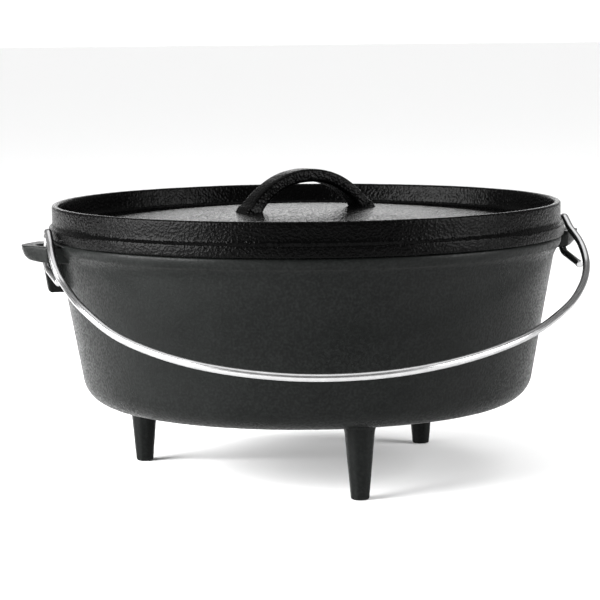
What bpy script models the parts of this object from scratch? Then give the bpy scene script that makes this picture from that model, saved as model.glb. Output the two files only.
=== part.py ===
"""A cast iron camp dutch oven: three-legged pot, flanged lid and swinging wire bail.

The pot and the lid are single castings.  The pot carries three legs and two ears, and the
lid carries its coal flange, its locating ring and its arched grip.  The bail is one bent
wire whose end hooks pass through the holes in the ears.

Every length below is in metres and is measured from the pot's own axis: X runs from ear to
ear, -Y points at the lowered bail, and Z = 0 is the plane that the three feet stand on.
"""
import math

import bmesh
import bpy
from mathutils import Vector

MM = 0.001
TURNS = 72                      # facets round a turned shape

# Placement: the pot's axis stands behind the middle of the box that the lowered bail makes.
POT_AXIS_Y = 13.5 * MM

# Pot
FLOOR_Z = 46.9 * MM             # underside of the pot
BASE_R = 128.3 * MM             # flat part of the underside
CORNER_R = 18.6 * MM            # outer corner between the underside and the wall
WALL_LEAN = math.radians(10.05)
WALL_THICK = 5.5 * MM
COLLAR_Z = 147.4 * MM           # lower edge of the thick collar below the rim
COLLAR_R = 165.5 * MM
RIM_Z = 154.1 * MM
RIM_INNER_R = 156.5 * MM

# Legs
LEG_CIRCLE_R = 113.2 * MM
LEG_TURN = math.radians(2.7)    # the cast legs sit a little off square with the ears
LEG_TOP_R = 9.6 * MM
LEG_TIP_R = 5.7 * MM
LEG_EDGE_R = 1.4 * MM
LEG_FLARE = 1.4 * MM

# Ears
EAR_TOP_Z = 152.5 * MM
EAR_UNDER_Z = 141.5 * MM
EAR_TIP_X = 185.7 * MM
EAR_ROOT_X = 158.0 * MM
EAR_EDGE_R = 1.4 * MM
EAR_DRAW_IN = 4.0 * MM          # how far the underside stops short of the tip
EAR_THIN = 2.2 * MM             # how much thinner the shelf is at its tip
EAR_HALF_PLAN = ((158.0, 24.0), (173.0, 22.2), (179.5, 14.0), (184.2, 7.5), (185.7, 4.5))
HOLE_X = (167.3 * MM, 176.7 * MM)
HOLE_Y = (-11.8 * MM, 1.3 * MM)
HOLE_CORNER_R = 4.0 * MM
WEB_Y = (1.8 * MM, 7.8 * MM)
WEB_OUTLINE = ((156.5, 146.0), (172.8, 146.0), (172.2, 141.0), (171.3, 137.0),
               (168.9, 122.4), (167.4, 121.0), (154.5, 121.0))

# Lid
LID_SEAT_Z = 154.4 * MM         # the lid's skirt rests 0.3 mm above the rim
CROWN_Z = 171.0 * MM
CROWN_DROP = 8.8 * MM           # fall of the crown from its centre to CROWN_FOOT_R
CROWN_FOOT_R = 140.0 * MM
LID_THICK = 4.6 * MM
FLANGE_R = 165.0 * MM
FLANGE_TOP_Z = 175.6 * MM
SKIRT_R = 167.2 * MM
SKIRT_TOP_Z = 161.6 * MM
RING_OUTER_R = 155.3 * MM
RING_INNER_R = 150.5 * MM
RING_Z = 149.4 * MM

# Lid grip: a stretch of a flat ring standing on the crown
GRIP_CENTRE_Z = 143.0 * MM
GRIP_OUTER_R = 53.6 * MM
GRIP_INNER_R = 45.2 * MM
GRIP_HALF_WIDTH = 7.3 * MM
GRIP_EDGE_R = 3.4 * MM
GRIP_TURN = math.radians(15.9)
GRIP_HALF_ANGLE = math.radians(62.0)

# Bail
WIRE_R = 2.4 * MM
HINGE_Y = -17.0 * MM
HINGE_Z = 147.0 * MM
HOOK_R = 10.0 * MM              # from the hinge axis to the hook's upright and its free leg
LOOP_R = 5.0 * MM               # tight bend at the top of the hook
LOOP_RISE = 9.0 * MM            # centre of that bend above the hinge axis
LEG_SLOPE = math.radians(32.0)  # slope of the wire as it leaves the hook
LEG_RUN = 10.0 * MM
FREE_SLOPE = math.radians(10.0)
FREE_RUN = 28.0 * MM
LEFT_HOOK_X = -170.5 * MM
RIGHT_HOOK_X = 173.5 * MM
# The hand-bent bow between the hooks, from left to right, a little lower at its left.
BOW_POINTS = (
    (-171, -34, 149), (-169, -55, 133), (-160, -90, 121), (-141, -127, 106), (-105, -164, 95),
    (-55, -186, 89), (-2, -192, 89), (50, -182, 94), (97, -159, 103), (134, -124, 114),
    (157, -90, 123), (173, -56, 133), (176, -38, 145))


def material(name, colour, roughness, metallic):
    mat = bpy.data.materials.new(name)
    mat.use_nodes = True
    shader = mat.node_tree.nodes["Principled BSDF"]
    shader.inputs["Base Color"].default_value = (*colour, 1.0)
    shader.inputs["Roughness"].default_value = roughness
    shader.inputs["Metallic"].default_value = metallic
    return mat


def arc(centre, radius, start, end, count):
    """Points on an arc in a plane, with angles in radians from the first axis."""
    step = (end - start) / (count - 1)
    return [(centre[0] + radius * math.cos(start + i * step),
             centre[1] + radius * math.sin(start + i * step)) for i in range(count)]


def mesh_object(name, bm, mat=None, sharp_degrees=35.0):
    bmesh.ops.recalc_face_normals(bm, faces=bm.faces)
    mesh = bpy.data.meshes.new(name)
    bm.to_mesh(mesh)
    bm.free()
    mesh.shade_smooth()
    mesh.set_sharp_from_angle(angle=math.radians(sharp_degrees))
    if mat:
        mesh.materials.append(mat)
    obj = bpy.data.objects.new(name, mesh)
    bpy.context.collection.objects.link(obj)
    return obj


def lathe(profile, turns=TURNS):
    """Turn (radius, height) points round Z; the first and last lie on the axis."""
    bm = bmesh.new()
    bottom = bm.verts.new((0.0, 0.0, profile[0][1]))
    top = bm.verts.new((0.0, 0.0, profile[-1][1]))
    rings = []
    for radius, height in profile[1:-1]:
        angles = [2.0 * math.pi * i / turns for i in range(turns)]
        rings.append([bm.verts.new((radius * math.cos(a), radius * math.sin(a), height))
                      for a in angles])
    for i in range(turns):
        j = (i + 1) % turns
        bm.faces.new((bottom, rings[0][j], rings[0][i]))
        for lower, upper in zip(rings, rings[1:]):
            bm.faces.new((lower[i], lower[j], upper[j], upper[i]))
        bm.faces.new((rings[-1][i], rings[-1][j], top))
    return bm


def loft(sections):
    """Join rings of points that have the same count, and cap both ends."""
    bm = bmesh.new()
    rings = [[bm.verts.new(point) for point in section] for section in sections]
    count = len(rings[0])
    for first, second in zip(rings, rings[1:]):
        for i in range(count):
            j = (i + 1) % count
            bm.faces.new((first[i], first[j], second[j], second[i]))
    bm.faces.new(rings[0][::-1])
    bm.faces.new(rings[-1])
    return bm


def combine(target, tool, operation):
    """Join or cut target with a hidden tool object, exactly."""
    tool.display_type = 'WIRE'
    tool.hide_render = True
    modifier = target.modifiers.new(tool.name, 'BOOLEAN')
    modifier.operation = operation
    modifier.solver = 'EXACT'
    modifier.object = tool


def pot_profile():
    """The pot's wall, from the middle of the underside round the rim to the floor inside."""
    lean = WALL_LEAN
    corner = (BASE_R, FLOOR_Z + CORNER_R)
    outer = [(0.0, FLOOR_Z)] + arc(corner, CORNER_R, -math.pi / 2, -lean, 6)
    wall_r, wall_z = outer[-1]
    rise = COLLAR_Z - 1.2 * MM
    outer += [(wall_r + (rise - wall_z) * math.tan(lean), rise),
              (COLLAR_R - 1.3 * MM, COLLAR_Z),
              (COLLAR_R, COLLAR_Z + 1.2 * MM),
              (COLLAR_R, RIM_Z - 2.6 * MM)]
    outer += arc((COLLAR_R - 2.0 * MM, RIM_Z - 2.0 * MM), 2.0 * MM, 0.3, math.pi / 2, 3)
    inner_corner_r = CORNER_R - WALL_THICK
    floor = FLOOR_Z + WALL_THICK
    inner = [(RIM_INNER_R + 1.2 * MM, RIM_Z), (RIM_INNER_R, RIM_Z - 1.4 * MM),
             (RIM_INNER_R - 0.6 * MM, COLLAR_Z - 2.0 * MM)]
    inner += arc(corner, inner_corner_r, -lean, -math.pi / 2, 5)
    return outer + inner + [(0.0, floor)]


def leg(index):
    """One tapered leg, rounded at its foot and flared into the pot's underside."""
    profile = [(0.0, 0.0)]
    profile += arc((LEG_TIP_R - LEG_EDGE_R, LEG_EDGE_R), LEG_EDGE_R, -math.pi / 2, 0.0, 4)
    profile += [(LEG_TOP_R, FLOOR_Z - 3.5 * MM),
                (LEG_TOP_R + 0.45 * LEG_FLARE, FLOOR_Z - 1.4 * MM),
                (LEG_TOP_R + LEG_FLARE, FLOOR_Z),
                (LEG_TOP_R + LEG_FLARE, FLOOR_Z + 0.45 * WALL_THICK),
                (0.0, FLOOR_Z + 0.45 * WALL_THICK)]
    obj = mesh_object(f"leg_tool_{index}", lathe(profile, turns=20))
    angle = LEG_TURN - math.pi / 2 + index * 2.0 * math.pi / 3
    obj.location = (LEG_CIRCLE_R * math.cos(angle), LEG_CIRCLE_R * math.sin(angle), 0.0)
    return obj


def ear_tab(side):
    """The flat shelf that the bail's hook passes through, thinner and drawn in to its tip."""
    front = [(x * MM, -y * MM) for x, y in EAR_HALF_PLAN]
    plan = front + [(x, -y) for x, y in reversed(front)]
    reach = EAR_TIP_X - EAR_ROOT_X
    lower = []
    for x, y in plan:
        x_low = x - EAR_DRAW_IN * ((x - EAR_ROOT_X) / reach) ** 3
        z_low = EAR_UNDER_Z + EAR_THIN * (x_low - EAR_ROOT_X) / reach
        lower.append((side * x_low, y, z_low))
    upper = [(side * x, y, EAR_TOP_Z) for x, y in plan]
    bm = loft([lower, upper])
    bmesh.ops.bevel(bm, geom=list(bm.edges), offset=EAR_EDGE_R, segments=2, profile=0.5,
                    affect='EDGES', clamp_overlap=True)
    return mesh_object(f"ear_tool_{side}", bm)


def ear_web(side):
    """The upright web that carries the shelf down the pot's wall, behind the hook."""
    sections = [[(side * x * MM, y, z * MM) for x, z in WEB_OUTLINE] for y in WEB_Y]
    return mesh_object(f"web_tool_{side}", loft(sections))


def ear_hole(side):
    """The long hole through the shelf."""
    (x0, x1), (y0, y1), r = HOLE_X, HOLE_Y, HOLE_CORNER_R
    corners = ((x1 - r, y1 - r, 0.0), (x0 + r, y1 - r, 0.5), (x0 + r, y0 + r, 1.0),
               (x1 - r, y0 + r, 1.5))
    outline = []
    for x, y, turn in corners:
        outline += arc((x, y), r, turn * math.pi, (turn + 0.5) * math.pi, 5)
    heights = (EAR_UNDER_Z - 6.0 * MM, EAR_TOP_Z + 4.0 * MM)
    return mesh_object(f"hole_tool_{side}", loft([[(side * x, y, z) for x, y in outline]
                                                  for z in heights]))


def build_pot(parent, mat):
    pot = mesh_object("pot", lathe(pot_profile()), mat)
    tools = [(leg(index), 'UNION') for index in range(3)]
    for side in (-1, 1):
        tools += [(ear_tab(side), 'UNION'), (ear_web(side), 'UNION')]
    for side in (-1, 1):
        tools.append((ear_hole(side), 'DIFFERENCE'))
    for tool, operation in tools:
        tool.parent = parent
        combine(pot, tool, operation)
    pot.parent = parent


def crown_height(radius):
    """Height of the lid's gently domed top at a radius."""
    return CROWN_Z - CROWN_DROP * (radius / CROWN_FOOT_R) ** 2


def lid_profile():
    """The lid, from under its centre out to the skirt, over the flange and back to the crown.

    Heights are measured from the lid's seat on the rim.
    """
    rings = (46.0 * MM, 92.0 * MM)
    under = [(0.0, CROWN_Z - LID_THICK)]
    under += [(r, crown_height(r) - LID_THICK) for r in rings]
    under += [(RING_INNER_R - 12.0 * MM, crown_height(138.5 * MM) - LID_THICK),
              (RING_INNER_R, SKIRT_TOP_Z - 5.6 * MM),
              (RING_INNER_R + 0.3 * MM, RING_Z + 1.0 * MM),
              (RING_INNER_R + 1.3 * MM, RING_Z),
              (RING_OUTER_R - 1.0 * MM, RING_Z),
              (RING_OUTER_R, RING_Z + 1.2 * MM),
              (RING_OUTER_R + 0.3 * MM, LID_SEAT_Z)]
    skirt = [(SKIRT_R - 0.9 * MM, LID_SEAT_Z), (SKIRT_R, LID_SEAT_Z + 1.0 * MM),
             (SKIRT_R, SKIRT_TOP_Z - 0.9 * MM), (SKIRT_R - 0.7 * MM, SKIRT_TOP_Z)]
    ledge = [(FLANGE_R + 0.35 * MM, SKIRT_TOP_Z + 1.0 * MM), (FLANGE_R, SKIRT_TOP_Z + 2.8 * MM)]
    flange = [(FLANGE_R, FLANGE_TOP_Z - 1.1 * MM), (FLANGE_R - 1.0 * MM, FLANGE_TOP_Z),
              (FLANGE_R - 2.9 * MM, FLANGE_TOP_Z),
              (FLANGE_R - 3.9 * MM, FLANGE_TOP_Z - 1.0 * MM),
              (FLANGE_R - 4.9 * MM, SKIRT_TOP_Z + 3.2 * MM),
              (FLANGE_R - 6.6 * MM, SKIRT_TOP_Z + 0.9 * MM),
              (FLANGE_R - 9.5 * MM, SKIRT_TOP_Z)]
    crown = [(CROWN_FOOT_R, crown_height(CROWN_FOOT_R))]
    crown += [(r, crown_height(r)) for r in reversed(rings)]
    crown += [(0.0, CROWN_Z)]
    return [(r, z - LID_SEAT_Z) for r, z in under + skirt + ledge + flange + crown]


def grip_section(angle):
    """One rounded-oblong section of the grip, square to its ring."""
    mid_r = (GRIP_OUTER_R + GRIP_INNER_R) / 2
    half = (GRIP_OUTER_R - GRIP_INNER_R) / 2
    edge = GRIP_EDGE_R
    outline = []
    for sx, sy, turn in ((1, 1, 0.0), (-1, 1, 0.5), (-1, -1, 1.0), (1, -1, 1.5)):
        centre = (sx * (GRIP_HALF_WIDTH - edge), sy * (half - edge))
        outline += arc(centre, edge, turn * math.pi, (turn + 0.5) * math.pi, 4)
    along = Vector((math.cos(GRIP_TURN), math.sin(GRIP_TURN), 0.0))
    across = Vector((-math.sin(GRIP_TURN), math.cos(GRIP_TURN), 0.0))
    up = Vector((0.0, 0.0, 1.0))
    outward = along * math.sin(angle) + up * math.cos(angle)
    centre = up * (GRIP_CENTRE_Z - LID_SEAT_Z)
    return [centre + across * w + outward * (mid_r + h) for w, h in outline]


def build_lid(parent, mat):
    lid = mesh_object("lid", lathe(lid_profile()), mat)
    count = 19
    step = 2.0 * GRIP_HALF_ANGLE / (count - 1)
    sections = [grip_section(i * step - GRIP_HALF_ANGLE) for i in range(count)]
    grip = mesh_object("grip_tool", loft(sections))
    combine(lid, grip, 'UNION')
    for obj in (lid, grip):
        obj.parent = parent
        obj.location = (0.0, 0.0, LID_SEAT_Z)


def hook_path(x):
    """A hook's centre line at one ear, from the free end under the shelf to the bow."""
    foot = 1.5 * math.pi + FREE_SLOPE
    bend = arc((HINGE_Y, HINGE_Z), HOOK_R, foot, 2.0 * math.pi, 8)
    down = Vector((-math.cos(FREE_SLOPE), -math.sin(FREE_SLOPE)))
    free = [Vector(bend[0]) + down * FREE_RUN * share for share in (1.0, 0.66, 0.33)]
    loop_centre = (HINGE_Y + HOOK_R - LOOP_R, HINGE_Z + LOOP_RISE)
    loop = arc(loop_centre, LOOP_R, 0.0, math.pi / 2 + LEG_SLOPE, 8)
    ahead = Vector((-math.cos(LEG_SLOPE), -math.sin(LEG_SLOPE)))
    leave = [Vector(loop[-1]) + ahead * LEG_RUN * share for share in (0.5, 1.0)]
    return [Vector((x, y, z)) for y, z in free + bend + loop + leave]


def smooth_curve(points, per_span):
    """Points along a Catmull-Rom curve through the given points, without its two ends."""
    result = []
    for p0, p1, p2, p3 in zip(points, points[1:], points[2:], points[3:]):
        for i in range(per_span):
            t = i / per_span
            result.append(0.5 * (2.0 * p1 + (p2 - p0) * t + (2.0 * p0 - 5.0 * p1 + 4.0 * p2 - p3)
                                 * t * t + (3.0 * p1 - p0 - 3.0 * p2 + p3) * t * t * t))
    result.append(points[-2])
    return result


def bail_path():
    left = hook_path(LEFT_HOOK_X)
    right = hook_path(RIGHT_HOOK_X)[::-1]
    bow = [Vector(point) * MM for point in BOW_POINTS]
    bow = smooth_curve(left[-2:] + bow + right[:2], per_span=3)
    return left[:-1] + bow + right[1:]


def build_bail(parent, mat):
    hinge = Vector((0.0, HINGE_Y, HINGE_Z))
    curve = bpy.data.curves.new("bail", 'CURVE')
    curve.dimensions = '3D'
    curve.bevel_depth = WIRE_R
    curve.bevel_resolution = 3
    curve.use_fill_caps = True
    path = bail_path()
    spline = curve.splines.new('POLY')
    spline.points.add(len(path) - 1)
    for point, position in zip(spline.points, path):
        point.co = (*(position - hinge), 1.0)
    curve.materials.append(mat)
    bail = bpy.data.objects.new("bail", curve)
    bpy.context.collection.objects.link(bail)
    bail.location = hinge
    bail.parent = parent


def main():
    for obj in list(bpy.data.objects):
        bpy.data.objects.remove(obj)
    axis = bpy.data.objects.new("oven_axis", None)
    axis.location = (0.0, POT_AXIS_Y, 0.0)
    bpy.context.collection.objects.link(axis)
    build_pot(axis, material("pot_iron", (0.021, 0.022, 0.021), 0.5, 0.2))
    build_lid(axis, material("lid_iron", (0.012, 0.013, 0.013), 0.33, 0.2))
    build_bail(axis, material("bail_steel", (0.72, 0.72, 0.71), 0.28, 1.0))


main()
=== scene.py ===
"""The looks of a cast iron camp dutch oven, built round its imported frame.

Lengths in the tables below are in millimetres, measured from the pot's own axis, with Z = 0 on
the plane that the feet stand on.  X runs from ear to ear and -Y points at the lowered bail.
"""
import math

import bmesh
import bpy
from mathutils import Matrix, Vector, noise


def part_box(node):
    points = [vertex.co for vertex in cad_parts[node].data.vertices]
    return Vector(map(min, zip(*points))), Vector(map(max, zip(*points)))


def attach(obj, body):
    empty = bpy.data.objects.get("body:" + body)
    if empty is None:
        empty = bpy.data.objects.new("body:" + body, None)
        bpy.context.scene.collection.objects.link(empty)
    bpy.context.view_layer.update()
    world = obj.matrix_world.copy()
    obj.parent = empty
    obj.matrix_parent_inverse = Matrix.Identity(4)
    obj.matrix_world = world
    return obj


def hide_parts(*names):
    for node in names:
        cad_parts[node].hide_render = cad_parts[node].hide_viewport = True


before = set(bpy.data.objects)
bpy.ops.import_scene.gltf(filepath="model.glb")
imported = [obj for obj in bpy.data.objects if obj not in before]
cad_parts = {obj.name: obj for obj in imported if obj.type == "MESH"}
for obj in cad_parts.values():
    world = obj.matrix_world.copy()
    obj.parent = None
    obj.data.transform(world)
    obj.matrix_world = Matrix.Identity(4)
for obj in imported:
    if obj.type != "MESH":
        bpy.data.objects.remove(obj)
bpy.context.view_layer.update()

MM = 0.001
LID_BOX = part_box("lid")
AXIS_Y = (LID_BOX[0].y + LID_BOX[1].y) / 2      # the pot and the lid share this upright axis
TURNS = 192                                     # facets round the pot and the lid
FACET = 4.0                                     # no turned facet is longer than this
LEG_FACET = 2.5
SHARP = 60.0                                    # castings keep only creases past this angle

# Pot
FLOOR_Z = 46.9
BASE_R = 128.3
CORNER_R = 18.6
WALL_LEAN = math.radians(10.05)
WALL_THICK = 5.5
COLLAR_Z = 147.4
COLLAR_R = 165.5
RIM_Z = 154.1
RIM_INNER_R = 156.5

# Legs
LEG_CIRCLE_R = 113.2
LEG_TURN = math.radians(2.7)
LEG_TOP_R = 9.6
LEG_TIP_R = 5.7
LEG_FLARE = 1.8
LEG_FACETS = 9
LEG_FACET_DEPTH = 0.012                         # as a share of the radius
LEG_TURNS = 72
LEG_ROOT = 2.5                                  # how far a leg reaches into the pot's floor

# Ears
EAR_TOP_Z = 152.5
EAR_UNDER_Z = 141.5
EAR_TIP_X = 185.7
EAR_ROOT_X = 158.0
EAR_DRAW_IN = 6.2                               # how far the tip is rounded off below
EAR_THIN = 1.2                                  # how much higher the underside is at the tip
EAR_LEVELS = (1.0, 0.96, 0.85, 0.6, 0.3, 0.0)   # shares of the depth, from the underside up
EAR_VOXEL = 0.6
# (x, half width), from the wall out to the tip
EAR_HALF_PLAN = ((158.0, 24.0), (173.0, 22.2), (179.5, 14.0), (184.2, 7.5), (185.7, 4.5))
HOLE_X = (167.3, 176.7)
HOLE_Y = (-11.8, 1.3)
HOLE_CORNER_R = 4.0
WEB_Y = (1.8, 7.8)
# (x, z), seen from the front
WEB_OUTLINE = ((156.5, 146.0), (172.8, 146.0), (172.2, 141.0), (171.3, 137.0),
               (168.9, 122.4), (167.4, 121.0), (154.5, 121.0))

# Lid
LID_SEAT_Z = 154.4
CROWN_Z = 171.0
CROWN_DROP = 8.8
CROWN_FOOT_R = 140.0
CROWN_RINGS = 20
LID_THICK = 4.6
FLANGE_R = 165.0
FLANGE_TOP_Z = 175.6
SKIRT_R = 167.2
SKIRT_TOP_Z = 161.6
RING_OUTER_R = 155.3
RING_INNER_R = 150.5
RING_Z = 149.4

# Grip
GRIP_CENTRE_Z = 143.0
GRIP_OUTER_R = 53.6
GRIP_INNER_R = 45.2
GRIP_HALF_WIDTH = 7.3
GRIP_EDGE_R = 2.1
GRIP_TURN = math.radians(15.9)
GRIP_HALF_ANGLE = math.radians(62.0)
GRIP_FOOT_FLARE = 1.6
GRIP_FLARE_FADE = 2.2                           # the fillet dies away over this height
GRIP_SECTIONS = 91

# Bail: a free leg, a bend up through the ear's hole, a loop over the ear and the wire's way out
WIRE_R = 2.4
HINGE_Y = -17.0
HINGE_Z = 147.0
HOOK_R = 10.0
LOOP_R = 5.0
LOOP_RISE = 9.0                                 # the loop's centre above the hinge
LEAVE_SLOPE = math.radians(32.0)                # the wire leaves the loop at this fall
LEAVE_RUN = 10.0
FREE_SLOPE = math.radians(10.0)
FREE_RUN = 28.0
LEFT_HOOK_X = -170.5
RIGHT_HOOK_X = 173.5
LEFT_TOE_IN = 0.08                              # how much the left free leg leans to the pot
WIRE_SIDES = 20
WIRE_END_BEVEL = 0.4
BOW_POINTS = (
    (-171, -34, 149), (-170, -44, 141), (-167, -55, 133), (-160, -90, 121), (-141, -127, 106),
    (-105, -164, 95), (-55, -186, 89), (-2, -192, 89), (50, -182, 94), (97, -159, 103),
    (134, -124, 114), (157, -90, 123), (173, -56, 133), (176, -38, 145))

# Camera, in metres and radians; its place is given from the pot's axis
CAMERA_DISTANCE = 1.48955
CAMERA_HEIGHT = 0.28724
EAR_AXIS_SIDE = math.radians(13.5)              # it stands this far from -Y towards -X
CAMERA_SIDE = math.radians(13.326)              # its heading, from +Y towards +X
CAMERA_PITCH = 0.11818                          # its downward tilt
CAMERA_ROLL = -0.00984
CAMERA_LENS = 137.3                             # on a sensor 36 wide, both in millimetres

# Studio, in metres; the softboxes' bearings are in degrees and their power is in watts
ROOM_LIGHT = 0.32
BACKDROP_LIGHT = 2.2
BACKDROP_EDGE = (0.92, 0.985)                   # cosines of the glow's outer and inner edge
OVERHEAD_LIGHT = 2.0
OVERHEAD_SPREAD = math.radians(70.0)
FLOOR_GREY = 0.97
FLOOR_R = 40.0
FLOOR_DROP = 0.0002                             # keeps the feet clear of the floor
SOFTBOX_DISTANCE = 1.7
SOFTBOX_HEIGHT = 0.60
SOFTBOX_AIM_Z = 0.12
# name, bearing from the camera's side of the pot, (width, height), power
SOFTBOXES = (("softbox_right", -71.0, (0.9, 1.1), 38.0),
             ("softbox_left", 67.0, (1.5, 1.1), 140.0))


# ---------------------------------------------------------------- shapes

def arc(centre, radius, start, end, count):
    """Points along a circle, both ends included."""
    step = (end - start) / (count - 1)
    return [(centre[0] + radius * math.cos(start + i * step),
             centre[1] + radius * math.sin(start + i * step)) for i in range(count)]


def rounded(points, steps=5):
    """A path through (x, y) or (x, y, trim) points; a trim rounds that corner off."""
    path = []
    for i, point in enumerate(points):
        corner = Vector(point[:2])
        trim = point[2] if len(point) > 2 else 0.0
        if not trim or i in (0, len(points) - 1):
            path.append(tuple(corner))
            continue
        start = corner + (Vector(points[i - 1][:2]) - corner).normalized() * trim
        end = corner + (Vector(points[i + 1][:2]) - corner).normalized() * trim
        for k in range(steps + 1):
            t = k / steps
            path.append(tuple(start * (1 - t) ** 2 + corner * 2 * t * (1 - t) + end * t * t))
    return path


def divided(path, longest):
    """The same path with no stretch longer than longest."""
    result = [path[0]]
    for a, b in zip(path, path[1:]):
        a, b = Vector(a), Vector(b)
        count = max(1, math.ceil((b - a).length / longest))
        result += [tuple(a.lerp(b, (k + 1) / count)) for k in range(count)]
    return result


def lathe(profile, turns=TURNS, waver=None):
    """Turn (radius, height) points round Z; the first and last lie on the axis."""
    bm = bmesh.new()
    bottom = bm.verts.new((0.0, 0.0, profile[0][1] * MM))
    top = bm.verts.new((0.0, 0.0, profile[-1][1] * MM))
    rings = []
    for radius, height in profile[1:-1]:
        ring = []
        for i in range(turns):
            angle = 2.0 * math.pi * i / turns
            r = radius * (waver(angle) if waver else 1.0) * MM
            ring.append(bm.verts.new((r * math.cos(angle), r * math.sin(angle), height * MM)))
        rings.append(ring)
    for i in range(turns):
        j = (i + 1) % turns
        bm.faces.new((bottom, rings[0][j], rings[0][i]))
        for lower, upper in zip(rings, rings[1:]):
            bm.faces.new((lower[i], lower[j], upper[j], upper[i]))
        bm.faces.new((rings[-1][i], rings[-1][j], top))
    return bm


def loft(sections):
    """Skin closed outlines of equal length, and cap the first and the last."""
    bm = bmesh.new()
    rings = [[bm.verts.new(Vector(p) * MM) for p in section] for section in sections]
    count = len(rings[0])
    for first, second in zip(rings, rings[1:]):
        for i in range(count):
            j = (i + 1) % count
            bm.faces.new((first[i], first[j], second[j], second[i]))
    bm.faces.new(rings[0][::-1])
    bm.faces.new(rings[-1])
    return bm


def make(name, bm, mat=None, sharp=40.0):
    """A smooth-shaded object of this mesh, creased at edges past an angle in degrees."""
    bmesh.ops.recalc_face_normals(bm, faces=bm.faces)
    mesh = bpy.data.meshes.new(name)
    bm.to_mesh(mesh)
    bm.free()
    mesh.shade_smooth()
    mesh.set_sharp_from_angle(angle=math.radians(sharp))
    if mat:
        mesh.materials.append(mat)
    obj = bpy.data.objects.new(name, mesh)
    bpy.context.collection.objects.link(obj)
    return obj


def roughen(obj, depth, size, seed):
    """The slight unevenness of a sand casting: points move along their normals."""
    shift = Vector((seed * 17.3, seed * 5.1, seed * 9.7))
    mesh = obj.data
    moves = [v.normal * depth * MM * (noise.noise(v.co / (size * MM) + shift)
                                      + 0.4 * noise.noise(v.co / (0.3 * size * MM) - shift))
             for v in mesh.vertices]
    for vertex, move in zip(mesh.vertices, moves):
        vertex.co += move
    mesh.update()


def settle(obj):
    """Apply the modifiers of an object to its mesh."""
    depsgraph = bpy.context.evaluated_depsgraph_get()
    mesh = bpy.data.meshes.new_from_object(obj.evaluated_get(depsgraph))
    obj.modifiers.clear()
    obj.data = mesh


def combine(target, tool, operation):
    modifier = target.modifiers.new(tool.name, 'BOOLEAN')
    modifier.operation = operation
    modifier.solver = 'EXACT'
    modifier.object = tool


def place(obj, body, slot, *replaced):
    """Put a piece on the pot's axis and hang it on its body."""
    obj.location.y += AXIS_Y
    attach(obj, body)
    if replaced:
        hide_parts(*replaced)


# ---------------------------------------------------------------- materials

def new_material(name):
    mat = bpy.data.materials.new(name)
    mat.use_nodes = True
    tree = mat.node_tree
    return mat, tree, tree.nodes["Principled BSDF"]


def noise_node(tree, coords, size_mm, detail, rough=0.55):
    """Noise whose grains are about size_mm across."""
    node = tree.nodes.new("ShaderNodeTexNoise")
    node.inputs["Scale"].default_value = 1.0 / (size_mm * MM)
    node.inputs["Detail"].default_value = detail
    node.inputs["Roughness"].default_value = rough
    tree.links.new(coords, node.inputs["Vector"])
    return node.outputs["Fac"]


def ramp(tree, value, stops):
    """stops are (position, grey or colour)."""
    node = tree.nodes.new("ShaderNodeValToRGB")
    elements = node.color_ramp.elements
    while len(elements) < len(stops):
        elements.new(0.5)
    for element, (position, colour) in zip(elements, stops):
        element.position = position
        colour = colour if isinstance(colour, tuple) else (colour,) * 3
        element.color = (*colour, 1.0)
    tree.links.new(value, node.inputs["Fac"])
    return node.outputs["Color"]


def blend(tree, a, b, factor):
    node = tree.nodes.new("ShaderNodeMix")
    node.data_type = 'RGBA'
    node.blend_type = 'MIX'
    if isinstance(factor, float):
        node.inputs[0].default_value = factor
    else:
        tree.links.new(factor, node.inputs[0])
    tree.links.new(a, node.inputs[6])
    tree.links.new(b, node.inputs[7])
    return node.outputs[2]


def bump(tree, height, depth_mm, strength, before=None):
    node = tree.nodes.new("ShaderNodeBump")
    node.inputs["Distance"].default_value = depth_mm * MM
    node.inputs["Strength"].default_value = strength
    tree.links.new(height, node.inputs["Height"])
    if before:
        tree.links.new(before, node.inputs["Normal"])
    return node.outputs["Normal"]


def iron(name, dark, light, worn, rough, grain_mm, grain_depth, specular):
    """Seasoned sand-cast iron: patchy oil film, sand grain, fine pits and rubbed edges."""
    mat, tree, shader = new_material(name)
    coords = tree.nodes.new("ShaderNodeTexCoord").outputs["Object"]
    patches = noise_node(tree, coords, 34.0, 4.0)
    grain = noise_node(tree, coords, grain_mm, 1.0, 0.4)
    fine = noise_node(tree, coords, grain_mm * 0.4, 1.0)
    swell = noise_node(tree, coords, 7.0, 3.0)
    film = ramp(tree, patches, ((0.32, dark), (0.72, light)))
    speck = ramp(tree, grain, ((0.40, tuple(0.55 * c for c in dark)),
                               (0.70, tuple(1.5 * c for c in light))))
    colour = blend(tree, film, speck, 0.45)
    edge = ramp(tree, tree.nodes.new("ShaderNodeNewGeometry").outputs["Pointiness"],
                ((0.53, 0.0), (0.62, 1.0)))
    rubbed = ramp(tree, swell, ((0.35, dark), (0.7, worn)))
    colour = blend(tree, colour, rubbed, edge)
    tree.links.new(colour, shader.inputs["Base Color"])
    sheen = blend(tree, ramp(tree, patches, ((0.3, rough - 0.07), (0.75, rough + 0.09))),
                  ramp(tree, grain, ((0.38, rough + 0.26), (0.60, rough - 0.06))), 0.6)
    tree.links.new(sheen, shader.inputs["Roughness"])
    normal = bump(tree, swell, 0.35, 0.35)
    normal = bump(tree, grain, grain_depth, 0.8, normal)
    normal = bump(tree, fine, grain_depth * 0.06, 0.6, normal)
    tree.links.new(normal, shader.inputs["Normal"])
    shader.inputs["Specular IOR Level"].default_value = specular
    return mat


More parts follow.
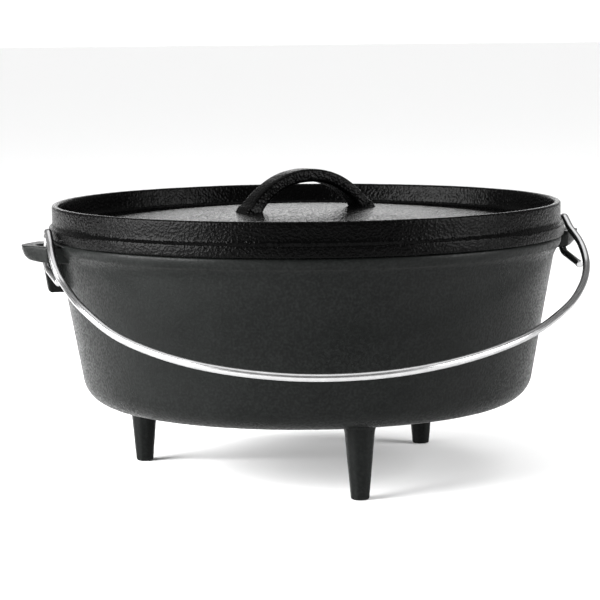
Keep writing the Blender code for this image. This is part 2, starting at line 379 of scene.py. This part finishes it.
def steel(name):
    """Drawn wire: fine lines along its length, soft mottling and a few dark marks."""
    mat, tree, shader = new_material(name)
    uv = tree.nodes.new("ShaderNodeTexCoord").outputs["UV"]
    stretch = tree.nodes.new("ShaderNodeMapping")
    stretch.inputs["Scale"].default_value = (0.03, 1.0, 1.0)
    tree.links.new(uv, stretch.inputs["Vector"])
    lines = noise_node(tree, stretch.outputs["Vector"], 0.5, 3.0)
    mottle = noise_node(tree, uv, 9.0, 4.0)
    marks = noise_node(tree, uv, 3.2, 2.0)
    soft = ramp(tree, mottle, ((0.3, (0.27, 0.27, 0.272)), (0.7, (0.42, 0.42, 0.422))))
    drawn = ramp(tree, lines, ((0.3, (0.29, 0.29, 0.292)), (0.7, (0.41, 0.41, 0.412))))
    colour = blend(tree, soft, drawn, 0.5)
    stain = ramp(tree, marks, ((0.70, 0.0), (0.78, 1.0)))
    colour = blend(tree, colour, ramp(tree, lines, ((0.2, (0.10, 0.095, 0.09)),
                                                    (0.8, (0.20, 0.19, 0.18)))), stain)
    tree.links.new(colour, shader.inputs["Base Color"])
    tree.links.new(ramp(tree, lines, ((0.3, 0.24), (0.7, 0.32))), shader.inputs["Roughness"])
    tree.links.new(bump(tree, lines, 0.012, 0.4), shader.inputs["Normal"])
    shader.inputs["Metallic"].default_value = 1.0
    return mat


# ---------------------------------------------------------------- pot

def build_shell(mat):
    corner = (BASE_R, FLOOR_Z + CORNER_R)
    outer = arc(corner, CORNER_R, -math.pi / 2, -WALL_LEAN, 16)
    wall_r, wall_z = outer[-1]
    rise = COLLAR_Z - 1.2
    # up the wall, out to the collar, over the rim and down inside it
    top = rounded([(wall_r, wall_z),
                   (wall_r + (rise - wall_z) * math.tan(WALL_LEAN) - 0.5, rise - 2.5, 4.5),
                   (COLLAR_R, COLLAR_Z + 1.6, 2.6),
                   (COLLAR_R, RIM_Z, 1.9),
                   (RIM_INNER_R, RIM_Z, 1.5),
                   (RIM_INNER_R - 0.6, COLLAR_Z - 2.0)])
    inner = arc(corner, CORNER_R - WALL_THICK, -WALL_LEAN, -math.pi / 2, 12)
    path = [(0.0, FLOOR_Z)] + outer + top[1:] + inner + [(0.0, FLOOR_Z + WALL_THICK)]
    shell = make("pot_shell", lathe(divided(path, FACET)), mat, SHARP)
    roughen(shell, depth=0.12, size=30.0, seed=1)
    place(shell, "pot", "pot_iron", "pot")


def build_legs(mat):
    profile = rounded([(0.0, 0.0), (LEG_TIP_R, 0.0, 1.4), (LEG_TOP_R, FLOOR_Z - 3.0, 3.0),
                       (LEG_TOP_R + LEG_FLARE, FLOOR_Z, 0.6),
                       (LEG_TOP_R + LEG_FLARE, FLOOR_Z + LEG_ROOT), (0.0, FLOOR_Z + LEG_ROOT)])

    def facets(angle):
        return 1.0 - LEG_FACET_DEPTH * (1.0 - math.cos(LEG_FACETS * angle))

    for index, name in enumerate(("front", "right", "left")):
        leg = make(f"leg_{name}", lathe(divided(profile, LEG_FACET), LEG_TURNS, facets), mat, SHARP)
        angle = LEG_TURN - math.pi / 2 + index * 2.0 * math.pi / 3
        leg.location = Vector((math.cos(angle), math.sin(angle), 0.0)) * LEG_CIRCLE_R * MM
        roughen(leg, depth=0.10, size=9.0, seed=10 + index)
        place(leg, "pot", "pot_iron")


def ear_shelf(side):
    """The flat shelf, whose tip is rounded off below in a quarter circle."""
    front = [(x, -y) for x, y in EAR_HALF_PLAN]
    plan = front + [(x, -y) for x, y in reversed(front)]
    reach = EAR_TIP_X - EAR_ROOT_X
    sections = []
    for depth in EAR_LEVELS:
        draw_in = EAR_DRAW_IN * (1.0 - math.sqrt(1.0 - depth ** 2))
        section = []
        for x, y in plan:
            share = (x - EAR_ROOT_X) / reach
            under = EAR_UNDER_Z + EAR_THIN * share
            section.append((side * (x - draw_in * share ** 3), y,
                            EAR_TOP_Z - depth * (EAR_TOP_Z - under)))
        sections.append(section)
    return make(f"shelf_{side}", loft(sections))


def ear_web(side):
    sections = [[(side * x, y, z) for x, z in WEB_OUTLINE] for y in WEB_Y]
    return make(f"web_{side}", loft(sections))


def ear_hole(side):
    (x0, x1), (y0, y1), r = HOLE_X, HOLE_Y, HOLE_CORNER_R
    corners = ((x1 - r, y1 - r, 0.0), (x0 + r, y1 - r, 0.5), (x0 + r, y0 + r, 1.0),
               (x1 - r, y0 + r, 1.5))
    outline = []
    for x, y, turn in corners:
        outline += arc((x, y), r, turn * math.pi, (turn + 0.5) * math.pi, 9)
    return make(f"hole_{side}", loft([[(side * x, y, z) for x, y in outline]
                                      for z in (EAR_UNDER_Z - 6.0, EAR_TOP_Z + 4.0)]))


def build_ears(mat):
    """Shelf, web and hole melted together, so that every edge has a casting's soft round."""
    for side, name in ((-1, "left"), (1, "right")):
        ear = ear_shelf(side)
        tools = [(ear_web(side), 'UNION'), (ear_hole(side), 'DIFFERENCE')]
        for tool, operation in tools:
            combine(ear, tool, operation)
        melt = ear.modifiers.new("melt", 'REMESH')
        melt.mode = 'VOXEL'
        melt.voxel_size = EAR_VOXEL * MM
        soften = ear.modifiers.new("soften", 'SMOOTH')
        soften.factor = 0.5
        soften.iterations = 5
        settle(ear)
        for tool, _ in tools:
            bpy.data.objects.remove(tool)
        ear.name = f"ear_{name}"
        ear.data.materials.clear()
        ear.data.materials.append(mat)
        ear.data.shade_smooth()
        roughen(ear, depth=0.10, size=8.0, seed=20 + side)
        place(ear, "pot", "pot_iron")


# ---------------------------------------------------------------- lid

def crown_height(radius):
    return CROWN_Z - CROWN_DROP * (radius / CROWN_FOOT_R) ** 2


def build_lid(mat):
    spread = [CROWN_FOOT_R * k / CROWN_RINGS for k in range(1, CROWN_RINGS)]
    under = [(0.0, CROWN_Z - LID_THICK)] + [(r, crown_height(r) - LID_THICK) for r in spread]
    # the ring below, the skirt, the ledge, the flange and the coal tray inside it
    rim = rounded([
        (RING_INNER_R - 12.0, crown_height(RING_INNER_R - 12.0) - LID_THICK),
        (RING_INNER_R, SKIRT_TOP_Z - 5.6, 1.5), (RING_INNER_R + 0.5, RING_Z, 1.4),
        (RING_OUTER_R, RING_Z, 1.2), (RING_OUTER_R + 0.3, LID_SEAT_Z, 0.3),
        (SKIRT_R, LID_SEAT_Z, 1.0), (SKIRT_R, SKIRT_TOP_Z - 0.3, 0.9),
        (FLANGE_R, SKIRT_TOP_Z + 1.6, 1.4), (FLANGE_R, FLANGE_TOP_Z, 1.7),
        (FLANGE_R - 3.7, FLANGE_TOP_Z, 1.7), (FLANGE_R - 5.2, SKIRT_TOP_Z + 0.9, 2.6),
        (CROWN_FOOT_R + 11.0, SKIRT_TOP_Z, 3.0), (CROWN_FOOT_R, crown_height(CROWN_FOOT_R))])
    crown = [(r, crown_height(r)) for r in reversed(spread)] + [(0.0, CROWN_Z)]
    lid = make("lid_casting", lathe(divided(under + rim + crown, FACET)), mat, SHARP)
    roughen(lid, depth=0.12, size=26.0, seed=2)
    place(lid, "lid", "lid_iron", "lid")


def grip_section(angle):
    """One rounded section, swelling into a fillet where it meets the crown."""
    mid_r = (GRIP_OUTER_R + GRIP_INNER_R) / 2
    height = GRIP_CENTRE_Z + mid_r * math.cos(angle) - crown_height(mid_r * math.sin(angle))
    swell = GRIP_FOOT_FLARE * math.exp(-max(height, 0.0) / GRIP_FLARE_FADE)
    half = (GRIP_OUTER_R - GRIP_INNER_R) / 2 + swell
    width = GRIP_HALF_WIDTH + swell
    outline = []
    for sx, sy, turn in ((1, 1, 0.0), (-1, 1, 0.5), (-1, -1, 1.0), (1, -1, 1.5)):
        outline += arc((sx * (width - GRIP_EDGE_R), sy * (half - GRIP_EDGE_R)), GRIP_EDGE_R,
                       turn * math.pi, (turn + 0.5) * math.pi, 8)
    along = Vector((math.cos(GRIP_TURN), math.sin(GRIP_TURN), 0.0))
    across = Vector((-math.sin(GRIP_TURN), math.cos(GRIP_TURN), 0.0))
    up = Vector((0.0, 0.0, 1.0))
    outward = along * math.sin(angle) + up * math.cos(angle)
    return [up * GRIP_CENTRE_Z + across * w + outward * (mid_r + h) for w, h in outline]


def build_grip(mat):
    last = GRIP_SECTIONS - 1
    sections = [grip_section((2.0 * i / last - 1.0) * GRIP_HALF_ANGLE)
                for i in range(GRIP_SECTIONS)]
    grip = make("lid_grip", loft(sections), mat, SHARP)
    roughen(grip, depth=0.14, size=7.0, seed=3)
    place(grip, "lid", "lid_iron")


# ---------------------------------------------------------------- bail

def hook_path(x, toe_in=0.0):
    """The wire's centre line from the free end to where it leaves the ear."""
    foot = 1.5 * math.pi + FREE_SLOPE
    bend = arc((HINGE_Y, HINGE_Z), HOOK_R, foot, 2.0 * math.pi, 18)
    down = Vector((-math.cos(FREE_SLOPE), -math.sin(FREE_SLOPE)))
    free = [(x + toe_in * run, *(Vector(bend[0]) + down * run))
            for run in (FREE_RUN * k / 8 for k in range(8, 0, -1))]
    loop = arc((HINGE_Y + HOOK_R - LOOP_R, HINGE_Z + LOOP_RISE), LOOP_R,
               0.0, math.pi / 2 + LEAVE_SLOPE, 16)
    ahead = Vector((-math.cos(LEAVE_SLOPE), -math.sin(LEAVE_SLOPE)))
    leave = [Vector(loop[-1]) + ahead * LEAVE_RUN * share for share in (0.5, 1.0)]
    rest = [(x, *point) for point in (*bend, *loop, *leave)]
    return [Vector(point) for point in free + rest]


def smooth_curve(points, per_span):
    """Points along a Catmull-Rom curve through the given points, without its two ends."""
    result = []
    for p0, p1, p2, p3 in zip(points, points[1:], points[2:], points[3:]):
        for i in range(per_span):
            t = i / per_span
            result.append(0.5 * (2.0 * p1 + (p2 - p0) * t + (2.0 * p0 - 5.0 * p1 + 4.0 * p2 - p3)
                                 * t * t + (3.0 * p1 - p0 - 3.0 * p2 + p3) * t * t * t))
    result.append(points[-2])
    return result


def build_bail(mat):
    left, right = hook_path(LEFT_HOOK_X, LEFT_TOE_IN), hook_path(RIGHT_HOOK_X)[::-1]
    bow = [Vector(point) for point in BOW_POINTS]
    bow = smooth_curve(left[-2:] + bow + right[:2], 10)
    path = [p * MM for p in left[:-1] + bow + right[1:]]
    bm = bmesh.new()
    uv = bm.loops.layers.uv.new("wire")
    tangents = [(b - a).normalized() for a, b in zip([path[0]] + path[:-1], path[1:] + [path[-1]])]
    normal = tangents[0].orthogonal().normalized()
    rings, lengths, run = [], [], 0.0
    angles = [2.0 * math.pi * i / WIRE_SIDES for i in range(WIRE_SIDES)]
    for k, (point, tangent) in enumerate(zip(path, tangents)):
        normal = (normal - tangent * normal.dot(tangent)).normalized()
        side = tangent.cross(normal)
        run += (point - path[k - 1]).length if k else 0.0
        lengths.append(run)
        rings.append([bm.verts.new(point + (normal * math.cos(a) + side * math.sin(a))
                                   * WIRE_R * MM) for a in angles])
    around = 2.0 * math.pi * WIRE_R * MM / WIRE_SIDES
    for k, (first, second) in enumerate(zip(rings, rings[1:])):
        for i in range(WIRE_SIDES):
            j = (i + 1) % WIRE_SIDES
            face = bm.faces.new((first[i], first[j], second[j], second[i]))
            for loop, (u, v) in zip(face.loops, ((lengths[k], i), (lengths[k], i + 1),
                                                 (lengths[k + 1], i + 1), (lengths[k + 1], i))):
                loop[uv].uv = (u, v * around)
    ends = [bm.faces.new(rings[0][::-1]), bm.faces.new(rings[-1])]
    bmesh.ops.bevel(bm, geom=[edge for face in ends for edge in face.edges],
                    offset=WIRE_END_BEVEL * MM, segments=2, profile=0.5, affect='EDGES')
    bail = make("bail_wire", bm, mat, 50.0)
    place(bail, "bail", "bail_steel", "bail")


# ---------------------------------------------------------------- studio

def build_camera():
    data = bpy.data.cameras.new("camera")
    data.sensor_width = 36.0
    data.lens = CAMERA_LENS
    camera = bpy.data.objects.new("camera", data)
    bpy.context.collection.objects.link(camera)
    place_at = Matrix.Translation((-math.sin(EAR_AXIS_SIDE) * CAMERA_DISTANCE,
                                   AXIS_Y - math.cos(EAR_AXIS_SIDE) * CAMERA_DISTANCE,
                                   CAMERA_HEIGHT))
    turn = (Matrix.Rotation(-CAMERA_SIDE, 4, 'Z')
            @ Matrix.Rotation(math.pi / 2 - CAMERA_PITCH, 4, 'X')
            @ Matrix.Rotation(CAMERA_ROLL, 4, 'Z'))
    camera.matrix_world = place_at @ turn
    bpy.context.scene.camera = camera


def build_floor():
    mat, _, shader = new_material("studio_floor")
    shader.inputs["Base Color"].default_value = (FLOOR_GREY, FLOOR_GREY, FLOOR_GREY, 1.0)
    shader.inputs["Roughness"].default_value = 0.9
    bm = bmesh.new()
    bmesh.ops.create_circle(bm, cap_ends=True, radius=FLOOR_R, segments=96)
    floor = make("studio_floor", bm, mat)
    floor.location.z = -FLOOR_DROP


def softbox(name, bearing, size, power):
    """A tall soft light that faces the oven."""
    heading = math.radians(bearing) + math.pi + EAR_AXIS_SIDE
    data = bpy.data.lights.new(name, 'AREA')
    data.shape = 'RECTANGLE'
    data.size, data.size_y = size
    data.energy = power
    light = bpy.data.objects.new(name, data)
    light.location = (SOFTBOX_DISTANCE * math.sin(heading),
                      AXIS_Y + SOFTBOX_DISTANCE * math.cos(heading), SOFTBOX_HEIGHT)
    aim = Vector((0.0, AXIS_Y, SOFTBOX_AIM_Z)) - light.location
    light.rotation_euler = aim.to_track_quat('-Z', 'Y').to_euler()
    bpy.context.collection.objects.link(light)


def build_world():
    """A dim room with a bright backdrop beyond the oven, fixed in the room's own directions."""
    world = bpy.data.worlds.new("studio")
    world.use_nodes = True
    tree = world.node_tree
    tree.nodes["Background"].inputs["Color"].default_value = (1.0, 1.0, 1.0, 1.0)
    toward = tree.nodes.new("ShaderNodeVectorMath")
    toward.operation = 'DOT_PRODUCT'
    toward.inputs[1].default_value = (math.sin(EAR_AXIS_SIDE), math.cos(EAR_AXIS_SIDE), 0.0)
    tree.links.new(tree.nodes.new("ShaderNodeTexCoord").outputs["Generated"], toward.inputs[0])
    glow = tree.nodes.new("ShaderNodeMapRange")
    glow.interpolation_type = 'SMOOTHSTEP'
    for socket, value in (("From Min", BACKDROP_EDGE[0]), ("From Max", BACKDROP_EDGE[1]),
                          ("To Min", ROOM_LIGHT), ("To Max", BACKDROP_LIGHT)):
        glow.inputs[socket].default_value = value
    tree.links.new(toward.outputs["Value"], glow.inputs["Value"])
    tree.links.new(glow.outputs["Result"], tree.nodes["Background"].inputs["Strength"])
    bpy.context.scene.world = world


def build_studio():
    build_world()
    bpy.context.scene.view_settings.view_transform = 'Standard'
    for settings in SOFTBOXES:
        softbox(*settings)
    data = bpy.data.lights.new("overhead", 'SUN')
    data.energy = OVERHEAD_LIGHT
    data.angle = OVERHEAD_SPREAD
    overhead = bpy.data.objects.new("overhead", data)
    bpy.context.collection.objects.link(overhead)
    build_floor()


def main():
    build_camera()
    pot_iron = iron("pot_iron", dark=(0.0030, 0.0034, 0.0032), light=(0.0060, 0.0067, 0.0064),
                    worn=(0.020, 0.020, 0.019), rough=0.32, grain_mm=1.5, grain_depth=0.15,
                    specular=0.06)
    lid_iron = iron("lid_iron", dark=(0.0003, 0.0003, 0.0003), light=(0.0010, 0.0010, 0.0010),
                    worn=(0.014, 0.014, 0.013), rough=0.16, grain_mm=1.5, grain_depth=0.60,
                    specular=0.032)
    build_shell(pot_iron)
    build_legs(pot_iron)
    build_ears(pot_iron)
    build_lid(lid_iron)
    build_grip(lid_iron)
    build_bail(steel("bail_steel"))
    build_studio()


main()
